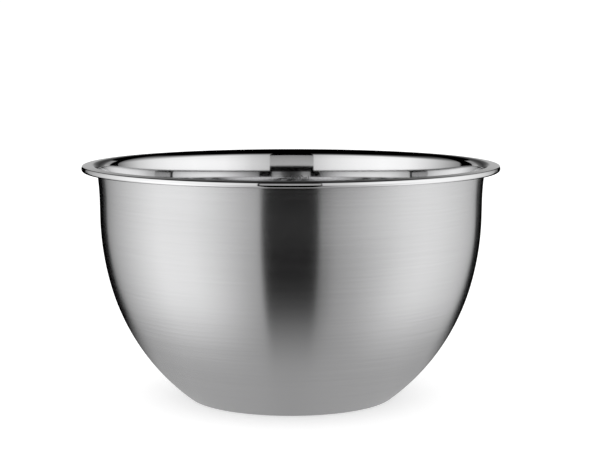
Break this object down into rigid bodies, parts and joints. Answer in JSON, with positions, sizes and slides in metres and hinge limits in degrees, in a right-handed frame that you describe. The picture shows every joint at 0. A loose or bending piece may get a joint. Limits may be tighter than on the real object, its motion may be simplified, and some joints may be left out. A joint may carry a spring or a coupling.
{
  "type": "mixing bowl",
  "caption": "Deep round stainless-steel mixing bowl with a small flat base, brushed outside, polished inside and a flanged rim with a rolled edge.",
  "frame": {"origin": "centre of the flat underside, on the surface that the bowl stands on", "axes": "+Z is the bowl's axis and points up out of its mouth; X and Y lie in the plane that it stands on"},
  "size_m": [0.24, 0.24, 0.1356],
  "materials": {
    "stainless_sheet": "satin-brushed round the outside, mirror-polished inside and on the rim"
  },
  "bodies": {
    "root": {"bowl": "stainless_sheet"}
  },
  "joints": []
}
